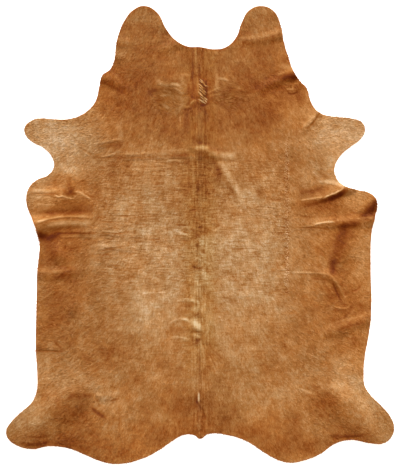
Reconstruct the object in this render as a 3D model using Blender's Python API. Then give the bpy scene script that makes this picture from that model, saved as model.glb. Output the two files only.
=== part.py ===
"""A cowhide rug: one whole hide, tanned with its short caramel hair left on, lying on a floor.

The hide is a single piece of leather, so the part is a single solid. The drawn outline is filled
as a flat slab of the hide's thickness and cut into small cells. The cells are then raised along
the creases that a hide keeps after it has been folded, and along the spine, where the hair
stands higher. X runs across the hide and Y along the spine towards the neck. The floor is z = 0.
"""

from collections import namedtuple

import bmesh
import bpy
import numpy as np
from mathutils import Vector

MM = 0.001

# Driving sizes of the whole hide
HIDE_LENGTH = 2290 * MM  # from the neck lobes to the rump lobes
HIDE_WIDTH = 1940 * MM  # from one hind foot to the other
THICKNESS = 5 * MM  # two of leather and three of hair lying flat
EDGE_DROP = 1.5 * MM  # the hair thins out at the cut edge
FOLD_SCALE = 1.0  # lowers or raises every fold together
LIES_FLAT = 0.3 * MM  # what is lower than this on the underside touches the floor
WELD = 0.01 * MM

# How finely the outline and the surface are cut
OUTLINE_STEPS = 8  # between two landmarks
CELL = 14 * MM
TRIANGLES = 11600
CREST_STEPS = 24  # along a fold
UPRIGHT = 0.5  # a face whose normal is less upright than this belongs to the cut edge
TINY = 1e-9  # keeps a distance that is divided by from being zero
FOOT = 1.3  # 1 gives a fold a sharp foot on its tail side, and more a softer one

CARAMEL = (0.40, 0.165, 0.045, 1.0)
COAT_ROUGHNESS = 0.55
CUT_EDGE_ANGLE = np.radians(50)  # the shading breaks where faces meet more sharply

# The outline as millimetres right of the spine and towards the neck from the middle of the
# hide. It starts at the neck and runs clockwise as seen from above, one table for each stretch.
Landmark = namedtuple("Landmark", "x y")

NECK = (
    Landmark(-278, 1145),
    Landmark(-214, 1112),
    Landmark(-170, 1032),
    Landmark(-122, 974),
    Landmark(-62, 943),
    Landmark(0, 940),
    Landmark(72, 929),
    Landmark(130, 940),
    Landmark(180, 988),
    Landmark(208, 1062),
    Landmark(246, 1124),
    Landmark(310, 1145),
)
RIGHT_SHOULDER = (
    Landmark(368, 1119),
    Landmark(402, 1050),
    Landmark(420, 960),
    Landmark(440, 894),
    Landmark(466, 818),
    Landmark(496, 772),
    Landmark(532, 734),
    Landmark(550, 676),
    Landmark(574, 630),
)
RIGHT_FORELEG = (
    Landmark(616, 602),
    Landmark(690, 590),
    Landmark(762, 582),
    Landmark(810, 562),
    Landmark(824, 524),
    Landmark(804, 482),
    Landmark(750, 440),
    Landmark(698, 392),
    Landmark(672, 338),
    Landmark(678, 290),
    Landmark(716, 248),
)
RIGHT_FLANK = (
    Landmark(785, 226),
    Landmark(854, 206),
    Landmark(880, 170),
    Landmark(876, 104),
    Landmark(858, 20),
    Landmark(852, -160),
    Landmark(855, -370),
    Landmark(842, -500),
    Landmark(822, -610),
    Landmark(817, -690),
)
RIGHT_HIND_LEG = (
    Landmark(822, -752),
    Landmark(852, -800),
    Landmark(905, -852),
    Landmark(950, -906),
    Landmark(969, -958),
    Landmark(954, -1012),
    Landmark(914, -1041),
    Landmark(850, -1040),
    Landmark(752, -1024),
    Landmark(672, -1044),
)
RUMP = (
    Landmark(600, -1094),
    Landmark(520, -1126),
    Landmark(450, -1138),
    Landmark(390, -1124),
    Landmark(316, -1084),
    Landmark(236, -1032),
    Landmark(140, -1000),
    Landmark(40, -995),
    Landmark(0, -1018),
    Landmark(-28, -1001),
    Landmark(-78, -998),
    Landmark(-134, -1026),
    Landmark(-200, -1072),
    Landmark(-290, -1118),
    Landmark(-410, -1144),
    Landmark(-490, -1132),
    Landmark(-570, -1100),
)
LEFT_HIND_LEG = (
    Landmark(-650, -1068),
    Landmark(-750, -1055),
    Landmark(-838, -1069),
    Landmark(-908, -1054),
    Landmark(-955, -1022),
    Landmark(-969, -981),
    Landmark(-944, -934),
    Landmark(-888, -880),
    Landmark(-840, -836),
    Landmark(-816, -780),
)
LEFT_FLANK = (
    Landmark(-813, -700),
    Landmark(-820, -560),
    Landmark(-816, -330),
    Landmark(-812, -170),
    Landmark(-801, -60),
    Landmark(-810, 6),
    Landmark(-836, 76),
    Landmark(-864, 146),
    Landmark(-866, 200),
    Landmark(-846, 248),
    Landmark(-808, 279),
)
LEFT_FORELEG = (
    Landmark(-758, 300),
    Landmark(-731, 338),
    Landmark(-738, 386),
    Landmark(-782, 436),
    Landmark(-836, 464),
    Landmark(-872, 502),
    Landmark(-876, 538),
    Landmark(-848, 568),
    Landmark(-802, 583),
    Landmark(-730, 579),
    Landmark(-656, 580),
    Landmark(-582, 606),
)
LEFT_SHOULDER = (
    Landmark(-524, 664),
    Landmark(-503, 740),
    Landmark(-488, 796),
    Landmark(-448, 830),
    Landmark(-428, 874),
    Landmark(-419, 950),
    Landmark(-404, 1012),
    Landmark(-374, 1078),
    Landmark(-332, 1126),
)
STRETCHES = (
    NECK,
    RIGHT_SHOULDER,
    RIGHT_FORELEG,
    RIGHT_FLANK,
    RIGHT_HIND_LEG,
    RUMP,
    LEFT_HIND_LEG,
    LEFT_FLANK,
    LEFT_FORELEG,
    LEFT_SHOULDER,
)

# Each fold's crest runs from left to right through a middle point, in the landmarks' millimetres.
# It has a height at those three points, and falls to nothing within a width towards the neck and
# another towards the tail. A fold that runs off the hide ends just past its edge.
Fold = namedtuple("Fold", "name left middle right heights neck_width tail_width")

FOLDS = (
    Fold("left ear tip", (-350, 1140), (-280, 1168), (-205, 1130), (3, 9, 3), 30, 50),
    Fold("left ear side", (-200, 1110), (-168, 1050), (-140, 1000), (0, 8, 0), 30, 40),
    Fold("right ear side", (340, 1145), (388, 1110), (408, 1055), (0, 7, 0), 30, 40),
    Fold("left cheek", (-425, 975), (-375, 968), (-310, 955), (7, 6, 0), 30, 32),
    Fold("left jaw", (-435, 884), (-395, 888), (-345, 892), (8, 6, 0), 28, 28),
    Fold("notch, left", (-230, 915), (-165, 940), (-95, 970), (0, 8, 11), 34, 38),
    Fold("right cheek", (140, 972), (300, 978), (430, 1020), (0, 9, 12), 38, 34),
    Fold("left neck", (-505, 800), (-440, 777), (-345, 705), (19, 15, 0), 36, 48),
    Fold("right neck", (235, 700), (395, 776), (510, 824), (0, 11, 28), 44, 42),
    Fold("right neck pinch", (470, 700), (486, 740), (505, 790), (0, 8, 5), 24, 24),
    Fold("right foreleg", (485, 470), (545, 552), (602, 628), (0, 9, 14), 44, 24),
    Fold("back, across", (-40, 440), (50, 412), (190, 385), (3, 11, 0), 36, 34),
    Fold("back, diagonal", (95, 375), (152, 268), (210, 145), (2, 12, 0), 42, 46),
    Fold("left elbow", (-880, 208), (-710, 206), (-510, 185), (8, 17, 0), 46, 120),
    Fold("left elbow pinch", (-690, 285), (-640, 240), (-600, 180), (0, 11, 0), 30, 40),
    Fold("left flank", (-835, 52), (-690, 84), (-490, 84), (33, 18, 0), 44, 78),
    Fold("left flank, slope", (-760, -10), (-700, -90), (-610, -150), (4, 12, 0), 50, 56),
    Fold("left flank, middle", (-830, -188), (-690, -188), (-500, -155), (9, 9, 0), 36, 40),
    Fold("right elbow", (480, 150), (630, 197), (760, 245), (0, 15, 26), 46, 36),
    Fold("right corner", (775, 85), (830, 140), (895, 205), (0, 16, 22), 44, 54),
    Fold("right flank", (460, 45), (650, 64), (885, 80), (0, 13, 17), 34, 42),
    Fold("right flank, down", (690, -190), (728, -70), (775, 35), (0, 12, 7), 70, 80),
    Fold("right belly", (490, -195), (650, -205), (730, -345), (0, 12, 0), 32, 30),
    Fold("right thigh", (560, -510), (710, -462), (850, -412), (0, 11, 10), 42, 46),
    Fold("left hip", (-860, -1010), (-725, -850), (-510, -770), (9, 22, 0), 90, 140),
    Fold("right hip", (560, -745), (730, -830), (860, -1000), (0, 21, 12), 84, 115),
    Fold("loin", (-95, -455), (-30, -462), (30, -495), (0, 10, 0), 46, 24),
)

# Ridges of hair, and creases too faint to lift the leather: they raise the top alone.
HAIR_CRESTS = (
    Fold("spine, front", (-6, 940), (0, 600), (-4, 250), (2, 3, 2), 20, 20),
    Fold("spine, back", (-4, 250), (-8, -400), (0, -1000), (2, 3, 2), 20, 20),
    Fold("withers tuft", (12, 790), (16, 715), (0, 640), (0, 7, 0), 28, 28),
    Fold("breast whorl", (-220, 745), (-150, 742), (-80, 700), (0, 3, 0), 34, 34),
    Fold("left foreleg crease", (-540, 445), (-480, 460), (-380, 475), (0, 5, 0), 30, 28),
    Fold("chest crease", (-580, 388), (-300, 393), (0, 388), (0, 4, 3), 26, 22),
    Fold("waist crease", (-600, 12), (-400, -4), (-80, -18), (4, 3, 0), 24, 22),
    Fold("left belly crease", (-560, -92), (-450, -66), (-290, -78), (0, 4, 0), 24, 22),
    Fold("left thigh ridge", (-690, -430), (-640, -380), (-590, -300), (0, 5, 0), 30, 30),
    Fold("left thigh crease", (-830, -560), (-760, -562), (-680, -590), (5, 4, 0), 28, 28),
    Fold("left rump crease", (-540, -800), (-470, -815), (-380, -810), (0, 5, 0), 30, 26),
)


def drawn_size(axis):
    """How far the landmarks reach along x or y."""
    values = [getattr(mark, axis) for stretch in STRETCHES for mark in stretch]
    return (max(values) - min(values)) * MM


def outline_curve():
    """The filled outline as a 2D curve, as thick as the hide and centred on its landmarks."""
    curve = bpy.data.curves.new("outline", "CURVE")
    curve.dimensions = "2D"
    curve.fill_mode = "BOTH"
    curve.extrude = THICKNESS / 2
    curve.resolution_u = OUTLINE_STEPS
    marks = [mark for stretch in STRETCHES for mark in stretch]
    wider = HIDE_WIDTH / drawn_size("x")
    longer = HIDE_LENGTH / drawn_size("y")
    spline = curve.splines.new("BEZIER")
    spline.bezier_points.add(len(marks) - 1)
    spline.use_cyclic_u = True
    for point, mark in zip(spline.bezier_points, marks):
        point.co = (mark.x * MM * wider, mark.y * MM * longer, 0)
        point.handle_left_type = "AUTO"
        point.handle_right_type = "AUTO"
    outline = bpy.data.objects.new("outline", curve)
    bpy.context.scene.collection.objects.link(outline)
    return outline


def slab_of(outline):
    """The curve as a closed mesh whose top and underside are one face each. The curve is removed."""
    graph = bpy.context.evaluated_depsgraph_get()
    mesh = bpy.data.meshes.new_from_object(outline.evaluated_get(graph))
    bpy.data.curves.remove(outline.data)
    slab = bmesh.new()
    slab.from_mesh(mesh)
    bpy.data.meshes.remove(mesh)
    bmesh.ops.remove_doubles(slab, verts=slab.verts, dist=WELD)
    slab.normal_update()
    for up in (1, -1):
        cap = [face for face in slab.faces if face.normal.z * up > UPRIGHT]
        bmesh.ops.dissolve_faces(slab, faces=cap)
    return slab


def cut_into_cells(slab):
    """Cuts the slab along evenly spaced lines across and along the hide."""
    for axis, size in ((Vector((1, 0, 0)), HIDE_WIDTH), (Vector((0, 1, 0)), HIDE_LENGTH)):
        lines = int(size / CELL)
        for number in range(1, lines):
            place = (number / lines - 0.5) * size
            everything = slab.verts[:] + slab.edges[:] + slab.faces[:]
            bmesh.ops.bisect_plane(slab, geom=everything, plane_co=axis * place, plane_no=axis)


def eased(share):
    """Goes from 0 to 1 with no slope at either end."""
    share = np.clip(share, 0, 1)
    return share * share * (3 - 2 * share)


def crest_line(fold):
    """Points along a fold's crest, and the crest's height at each."""
    left, middle, right = (np.array(point) * MM for point in (fold.left, fold.middle, fold.right))
    pull = 2 * middle - (left + right) / 2
    t = np.linspace(0, 1, CREST_STEPS + 1)[:, None]
    points = (1 - t) ** 2 * left + 2 * t * (1 - t) * pull + t**2 * right
    at_left, at_middle, at_right = (height * MM for height in fold.heights)
    first = at_left + (at_middle - at_left) * eased(2 * t[:, 0])
    second = (at_right - at_middle) * eased(2 * t[:, 0] - 1)
    return points, first + second


def rise_of(fold, places):
    """How high one fold lifts the hide at each place.

    It is narrower where its crest is low. It rises gently on its neck side, and on its tail side
    it stays rounded until it meets the floor.
    """
    points, heights = crest_line(fold)
    nearest = np.full(len(places), np.inf)
    side = np.zeros(len(places))
    height = np.zeros(len(places))
    for number in range(CREST_STEPS):
        begin = points[number]
        along = points[number + 1] - begin
        length = np.linalg.norm(along)
        away = places - begin
        share = np.clip(away @ along / length**2, 0, 1)
        gap = away - share[:, None] * along
        distance = np.linalg.norm(gap, axis=1)
        closer = distance < nearest
        left_of = (along[0] * gap[:, 1] - along[1] * gap[:, 0]) / length
        nearest[closer] = distance[closer]
        side[closer] = left_of[closer] / np.maximum(distance[closer], TINY)
        between = heights[number] + share * (heights[number + 1] - heights[number])
        height[closer] = between[closer]
    towards_neck = (1 + side) / 2
    width = towards_neck * fold.neck_width * MM + (1 - towards_neck) * fold.tail_width * MM
    narrowing = 0.5 + 0.5 * height / heights.max()
    away = np.minimum(nearest / (width * narrowing), 1)
    gentle = 0.5 + 0.5 * np.cos(np.pi * away)
    rounded = (1 - away**2) ** FOOT
    return height * (towards_neck * gentle + (1 - towards_neck) * rounded)


def lay_down(slab):
    """Sets the slab on the floor and raises it along the folds and the hair's crests."""
    places = np.array([vert.co[:2] for vert in slab.verts])
    leather = FOLD_SCALE * sum(rise_of(fold, places) for fold in FOLDS)
    hair = sum(rise_of(crest, places) for crest in HAIR_CRESTS)
    for vert, fold_rise, hair_rise in zip(slab.verts, leather, hair):
        on_top = vert.co.z > 0
        at_edge = any(abs(face.normal.z) < UPRIGHT for face in vert.link_faces)
        vert.co.z += THICKNESS / 2 + fold_rise
        if on_top:
            vert.co.z += hair_rise
        if on_top and at_edge:
            vert.co.z -= EDGE_DROP


def centre(mesh):
    """Moves the mesh so that its box is centred on the origin, seen from above."""
    corners = np.array([vert.co for vert in mesh.vertices])
    middle = (corners.min(axis=0) + corners.max(axis=0)) / 2
    for vert in mesh.vertices:
        vert.co.x -= middle[0]
        vert.co.y -= middle[1]


def thin_out(hide):
    """Leaves small triangles only where the hide bends, and sets what lies flat on the floor."""
    fewer = hide.modifiers.new("fewer triangles", "DECIMATE")
    fewer.decimate_type = "COLLAPSE"
    fewer.ratio = min(1, TRIANGLES / len(hide.data.polygons))
    graph = bpy.context.evaluated_depsgraph_get()
    thinned = bpy.data.meshes.new_from_object(hide.evaluated_get(graph))
    hide.modifiers.clear()
    finer = hide.data
    hide.data = thinned
    bpy.data.meshes.remove(finer)
    thinned.name = hide.name
    for vert in thinned.vertices:
        if vert.co.z < LIES_FLAT:
            vert.co.z = 0


def caramel_coat():
    material = bpy.data.materials.new("caramel coat")
    material.use_nodes = True
    surface = material.node_tree.nodes["Principled BSDF"]
    surface.inputs["Base Color"].default_value = CARAMEL
    surface.inputs["Roughness"].default_value = COAT_ROUGHNESS
    surface.inputs["Metallic"].default_value = 0
    return material


def build_hide(collection):
    slab = slab_of(outline_curve())
    cut_into_cells(slab)
    slab.normal_update()
    lay_down(slab)
    bmesh.ops.triangulate(slab, faces=slab.faces)
    mesh = bpy.data.meshes.new("finely cut")
    slab.to_mesh(mesh)
    slab.free()
    mesh.materials.append(caramel_coat())
    hide = bpy.data.objects.new("hide", mesh)
    collection.objects.link(hide)
    thin_out(hide)
    centre(hide.data)
    hide.data.shade_smooth()
    hide.data.set_sharp_from_angle(angle=CUT_EDGE_ANGLE)


def main():
    for old in list(bpy.data.objects):
        bpy.data.objects.remove(old)
    collection = bpy.data.collections.new("cowhide rug")
    bpy.context.scene.collection.children.link(collection)
    build_hide(collection)


main()
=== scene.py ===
"""The looks of the cowhide rug: its folded leather, its lying hair, the studio and the camera.

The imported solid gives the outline, the folds and the depth of the coat. The leather is a fine
sheet laid along its underside, and the hair is many thousands of small pointed locks that lie on
the leather the way hair lies on the animal. X runs across the hide, Y along the spine towards
the neck, in metres.
"""

from collections import namedtuple
from math import radians

import bmesh
import bpy
import numpy as np
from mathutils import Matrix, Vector
from mathutils.bvhtree import BVHTree
from mathutils.kdtree import KDTree


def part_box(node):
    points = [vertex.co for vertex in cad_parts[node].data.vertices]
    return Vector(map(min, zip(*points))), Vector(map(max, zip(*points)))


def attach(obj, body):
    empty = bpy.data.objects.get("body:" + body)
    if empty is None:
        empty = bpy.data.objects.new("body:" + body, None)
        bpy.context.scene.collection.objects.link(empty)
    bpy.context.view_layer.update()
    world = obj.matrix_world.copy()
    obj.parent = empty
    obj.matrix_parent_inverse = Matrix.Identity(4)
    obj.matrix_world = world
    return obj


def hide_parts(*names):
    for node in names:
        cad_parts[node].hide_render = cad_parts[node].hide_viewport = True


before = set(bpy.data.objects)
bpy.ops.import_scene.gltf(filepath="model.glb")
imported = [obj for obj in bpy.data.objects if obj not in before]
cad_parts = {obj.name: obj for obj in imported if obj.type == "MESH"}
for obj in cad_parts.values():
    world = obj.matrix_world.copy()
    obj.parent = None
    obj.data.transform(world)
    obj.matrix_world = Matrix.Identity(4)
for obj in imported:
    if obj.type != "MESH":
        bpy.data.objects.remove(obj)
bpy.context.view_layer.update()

MM = 0.001

# Leather
LEATHER = 2.2 * MM
CELL = 12 * MM  # the sheet's own squares
SQUARES_ACROSS, SQUARES_ALONG = 2.0, 2.4  # what they cover, a little more than the hide
DOWNWARD = -0.3  # the underside's faces have a normal with no more Z than this
PITCH = 5 * MM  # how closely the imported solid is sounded
SOFTENING = 5 * MM  # its small flat faces are blurred over this distance

# Hair
SPACING = 4.0 * MM  # from one lock's root to the next
LOCK_LENGTH = 15 * MM
LOCK_WIDTH = 3.4 * MM
FINE_SPACING = 2.4 * MM
FINE_LENGTH = 8 * MM
FINE_WIDTH = 2.2 * MM
OVERHANG = 3 * MM  # about how far tips reach past the cut edge
# The hair's darkening near the cut edge is a painted shade along the rim.
RIM = 8 * MM  # the hair is darker this near the cut edge
STREAK = 6 * MM  # how wide the coat's streaks are
STRAY = radians(14)  # how far single locks point away from the rest
ROLL = 0.28  # how far they lean to one side, in radians
BEND = 0.10  # how far their tips swing aside, as a share of their length
LEGS_FROM, LEGS_OVER = 0.66, 0.20  # the legs' shorter coat starts here, and over this distance
FAINT = 0.05  # a mark with less tone than this needs no fine hair

SEED = 11


# Fields over the hide: each takes arrays of x and y


def smooth(share):
    """Goes from 0 to 1 with no slope at either end."""
    share = np.clip(share, 0, 1)
    return share * share * (3 - 2 * share)


LATTICE = 256  # corners of the noise before it repeats


def cloud(x, y, size_x, size_y, seed):
    """Soft noise from -1 to 1 whose blotches have the given size."""
    lattice = np.random.default_rng(seed).uniform(-1, 1, (LATTICE, LATTICE))
    across, up = x / size_x, y / size_y
    column, row = np.floor(across).astype(int), np.floor(up).astype(int)
    right, above = smooth(across - column), smooth(up - row)

    def corner(dx, dy):
        return lattice[(row + dy) % LATTICE, (column + dx) % LATTICE]

    low = corner(0, 0) * (1 - right) + corner(1, 0) * right
    high = corner(0, 1) * (1 - right) + corner(1, 1) * right
    return low * (1 - above) + high * above


def within(x, y, centre, reach, turn=0):
    """1 at the centre of an ellipse and 0 outside it."""
    dx, dy = x - centre[0], y - centre[1]
    c, s = np.cos(radians(turn)), np.sin(radians(turn))
    along, aside = (dx * c + dy * s) / reach[0], (dy * c - dx * s) / reach[1]
    return smooth(1 - np.hypot(along, aside))


CURVE_PARTS = 8  # straight parts that a mark's curve is followed with


def near_mark(mark, x, y):
    """Which points are close to the curve through a mark's three points, and how close.

    The closeness is 1 on the curve and 0 from the mark's width away. It fades over the first and
    the last fifth of the curve.
    """
    start, middle, end = (np.array(point) / 1000 for point in (mark.start, mark.middle, mark.end))
    share = np.linspace(0, 1, CURVE_PARTS + 1)[:, None]
    pull = 2 * middle - (start + end) / 2
    points = (1 - share) ** 2 * start + 2 * share * (1 - share) * pull + share**2 * end
    reach = mark.width * MM
    low, high = points.min(axis=0) - reach, points.max(axis=0) + reach
    close = (x > low[0]) & (x < high[0]) & (y > low[1]) & (y < high[1])
    px, py = x[close], y[close]
    best = np.zeros(len(px))
    for number in range(CURVE_PARTS):
        first, along = points[number], points[number + 1] - points[number]
        part = ((px - first[0]) * along[0] + (py - first[1]) * along[1]) / (along @ along)
        part = np.clip(part, 0, 1)
        away = np.hypot(px - first[0] - part * along[0], py - first[1] - part * along[1])
        place = (number + part) / CURVE_PARTS
        fade = smooth(5 * place) * smooth(5 * (1 - place))
        best = np.maximum(best, fade * smooth(1 - away / reach))
    return close, best


# How the hair lies, as degrees outwards from straight back along the spine
Lie = namedtuple("Lie", "name centre reach turn degrees")
LIES = (
    Lie("foreleg", (0.80, 0.50), (0.34, 0.22), 0, 88),
    Lie("elbow", (0.82, 0.16), (0.30, 0.20), 0, 62),
    Lie("hind leg", (0.92, -0.97), (0.42, 0.24), -40, 50),
    Lie("rump", (0.35, -1.05), (0.40, 0.22), 0, 14),
    Lie("cheek", (0.34, 1.02), (0.22, 0.24), 0, 16),
)
Whorl = namedtuple("Whorl", "centre reach degrees")
WHORLS = (
    Whorl((-0.150, 0.690), (0.135, 0.130), 150),
    Whorl((0.150, 0.700), (0.120, 0.120), 110),
)
SPREAD = 52  # degrees outwards on the flanks
PARTING = 0.03  # half width of the hair that lies straight back along the spine


def lie_of_hair(x, y):
    """The direction that the hair points in, as two arrays."""
    out = np.abs(x)
    degrees = 6 + SPREAD * smooth(out / 0.75)
    for lie in LIES:
        share = np.minimum(1.6 * within(out, y, lie.centre, lie.reach, lie.turn), 1)
        degrees = degrees + (lie.degrees - degrees) * share
    degrees = degrees + 14 * cloud(x, y, 0.09, 0.12, 3) + 9 * cloud(x, y, 0.030, 0.045, 4)
    side = np.tanh(x / PARTING)
    for whorl in WHORLS:
        share = within(x, y, whorl.centre, whorl.reach)
        degrees = degrees + whorl.degrees * share
    angle = np.radians(degrees) * side
    return np.sin(angle), -np.cos(angle)


# Creases, puckers, wisps and streaks that are finer than the solid. Each follows a curve through
# three points. The points, the width and the rise, where it has one, are in millimetres, and the
# tone is how much paler the hair is. The tone is partly the hair's own colour (wisps, strands,
# rust and gold) and partly painted light and shade: painted highlights on small crests that face
# the light, painted shade in creases, under crests and on fold sides turned from the light, and
# painted shadows under the tuft and at the folds' darkest ends. Comments in each table say which.
Mark = namedtuple("Mark", "name start middle end width tone rise", defaults=(0,))
LEFT_ELBOW = (
    # Painted light and shade: the lobe bands and the wrinkles are pale hair and partly painted
    # highlights on crests that face the light; the lobe line, wrinkle 6, the pinch and the band under
    # the wrinkles are painted shade in creases and under crests.
    Mark("lobe, edge", (-835, 265), (-820, 250), (-805, 235), 10, -0.16),
    Mark("lobe, band", (-850, 226), (-775, 222), (-700, 226), 15, 0.16, 1),
    Mark("lobe, line", (-850, 208), (-780, 204), (-705, 206), 7, -0.16, -1),
    Mark("lobe, low band", (-850, 190), (-790, 188), (-730, 190), 10, 0.12),
    Mark("lobe, lowest", (-820, 155), (-770, 152), (-720, 155), 8, 0.14),
    Mark("wrinkle 1", (-724, 200), (-704, 191), (-682, 198), 7, 0.46, 2),
    Mark("wrinkle 2", (-690, 198), (-662, 186), (-630, 180), 7, 0.42, 2),
    Mark("wrinkle 3", (-634, 179), (-626, 187), (-616, 198), 6, 0.24, 1),
    Mark("wrinkle 4", (-624, 214), (-602, 214), (-578, 199), 7, 0.34, 1),
    Mark("wrinkle 5", (-586, 203), (-566, 192), (-543, 177), 7, 0.38, 2),
    Mark("wrinkle 6", (-582, 207), (-550, 194), (-518, 187), 6, -0.26, -1),
    Mark("pinch", (-652, 300), (-650, 250), (-630, 205), 26, -0.26),
    Mark("pinch, deepest", (-655, 215), (-636, 205), (-618, 206), 12, -0.24, -1),
    Mark("pinch, side", (-690, 232), (-668, 210), (-645, 200), 12, -0.18),
    Mark("under the wrinkles", (-720, 160), (-620, 140), (-520, 135), 36, -0.08),
)
LEFT_FLANK = (
    # Painted light and shade of the flank's fold: the ridge and its white end are painted highlights
    # on its crest, the ridge's body is painted light over its shaded side, and above the ridge, its
    # foot, the black end and below the end are painted shade and shadow. The flank hook, the flank
    # light and the darkening under it pair painted highlights with painted shade, and the thigh,
    # stifle and hock creases and the hip hollow's edge are painted shade in creases and a hollow.
    Mark("above the ridge", (-800, 112), (-680, 112), (-510, 120), 20, -0.22, -1),
    Mark("above the ridge, end", (-835, 122), (-770, 124), (-680, 126), 26, -0.13),
    Mark("ridge", (-820, 58), (-690, 91), (-515, 86), 8, 0.28, 1.5),
    Mark("ridge, white end", (-815, 66), (-795, 70), (-775, 73), 9, 0.22),
    Mark("ridge, body, painted light", (-770, 46), (-680, 60), (-515, 60), 24, 0.34, 1),
    Mark("ridge, foot", (-730, 8), (-620, 9), (-495, 9), 8, -0.30, -1),
    Mark("below the foot", (-710, -8), (-620, -5), (-500, -6), 9, 0.10),
    Mark("black end, painted shadow", (-820, 14), (-765, -11), (-700, 8), 33, -0.46),
    Mark("below the end", (-760, -40), (-750, -85), (-735, -150), 44, -0.20),
    Mark("flank hook", (-510, -85), (-440, -68), (-370, -64), 8, -0.24, -1),
    Mark("flank hook, light", (-560, -60), (-500, -52), (-440, -58), 14, 0.14),
    Mark("flank, light", (-810, -180), (-730, -182), (-650, -176), 15, 0.12, 1),
    Mark("flank, under it", (-740, -206), (-690, -208), (-640, -200), 14, -0.14),
    Mark("thigh crease", (-840, -578), (-760, -580), (-680, -583), 7, -0.30, -2),
    Mark("thigh pucker", (-735, -528), (-705, -555), (-680, -592), 8, -0.22, 1),
    Mark("thigh dimple", (-790, -610), (-780, -640), (-770, -660), 14, -0.14),
    Mark("stifle crease", (-545, -858), (-510, -890), (-470, -912), 16, -0.38, -1),
    Mark("stifle crease, high", (-525, -812), (-510, -835), (-500, -862), 9, -0.22, -1),
    Mark("stifle tufts, dark", (-585, -785), (-560, -806), (-535, -788), 16, -0.20),
    Mark("stifle tufts, pale", (-522, -790), (-488, -806), (-485, -842), 14, 0.13),
    Mark("stifle light", (-485, -820), (-450, -800), (-405, -788), 11, 0.13),
    Mark("stifle wisp", (-452, -830), (-430, -826), (-402, -814), 7, -0.30, -1),
    Mark("hip hollow, edge", (-665, -830), (-630, -804), (-570, -826), 18, -0.16),
    Mark("hock", (-866, -900), (-862, -940), (-868, -985), 8, -0.10, -1),
    Mark("foot, dark lines", (-880, -1000), (-810, -1010), (-730, -995), 7, -0.14),
    Mark("foot, rim", (-900, -1040), (-820, -1048), (-740, -1030), 16, -0.20),
)
LEFT_FRONT = (
    # Painted light and shade: the foreleg and chest creases are painted shade, the foreleg pucker and
    # the light chest line painted highlights beside them, and the neck hollow painted shade on the
    # side of the neck's fold that is turned from the light.
    Mark("foreleg crease", (-620, 440), (-555, 408), (-500, 350), 9, -0.16, -1.5),
    Mark("foreleg pucker", (-550, 450), (-470, 468), (-380, 482), 10, 0.14, 1),
    Mark("neck hollow", (-510, 770), (-440, 745), (-350, 685), 17, -0.16),
    Mark("cheek", (-440, 952), (-370, 946), (-300, 940), 12, -0.10),
    Mark("chest, rust", (-520, 440), (-460, 444), (-390, 448), 20, -0.16),
    Mark("chest, wisp", (-500, 388), (-450, 400), (-385, 428), 8, 0.18, 1),
    Mark("shoulder, pale", (-410, 560), (-398, 515), (-390, 470), 22, 0.14),
    Mark("chest line", (-600, 386), (-370, 386), (-180, 392), 8, -0.16, -1),
    Mark("chest line, light", (-450, 405), (-320, 408), (-190, 420), 8, 0.12, 0.5),
)
RIGHT_FRONT = (
    # Painted light and shade: the neck's light end and crest are painted highlights on the neck's
    # fold and its dark end painted shade in the trough below it; the pinch's gold and light marks are
    # partly golden hair and partly painted highlights, its dark mark painted shade in the crease; the
    # foreleg's shoulder is a painted highlight, its groove and the knee ring painted shade in
    # creases.
    Mark("cheek, light", (160, 988), (300, 994), (430, 1032), 14, 0.10),
    Mark("neck, light end", (390, 850), (430, 842), (462, 828), 22, 0.24),
    Mark("neck, crest", (375, 798), (420, 813), (470, 824), 10, 0.10, 1),
    Mark("neck, dark end", (400, 774), (445, 791), (490, 782), 27, -0.36),
    Mark("pinch, gold", (430, 727), (450, 729), (470, 725), 9, 0.34, 1),
    Mark("pinch, dark", (435, 713), (465, 705), (496, 722), 7, -0.36, -1.5),
    Mark("pinch, light", (462, 722), (466, 745), (484, 764), 8, 0.20, 1),
    Mark("pinch, below", (480, 700), (500, 670), (510, 640), 18, -0.12),
    Mark("foreleg, groove", (602, 622), (572, 570), (528, 524), 8, -0.34, -2),
    Mark("foreleg, shoulder", (580, 606), (545, 570), (505, 535), 20, 0.08, 1),
    Mark("foreleg, rust", (480, 470), (483, 520), (478, 565), 7, -0.16),
    Mark("knee ring", (735, 545), (755, 525), (745, 500), 8, -0.10, -1),
)
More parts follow.
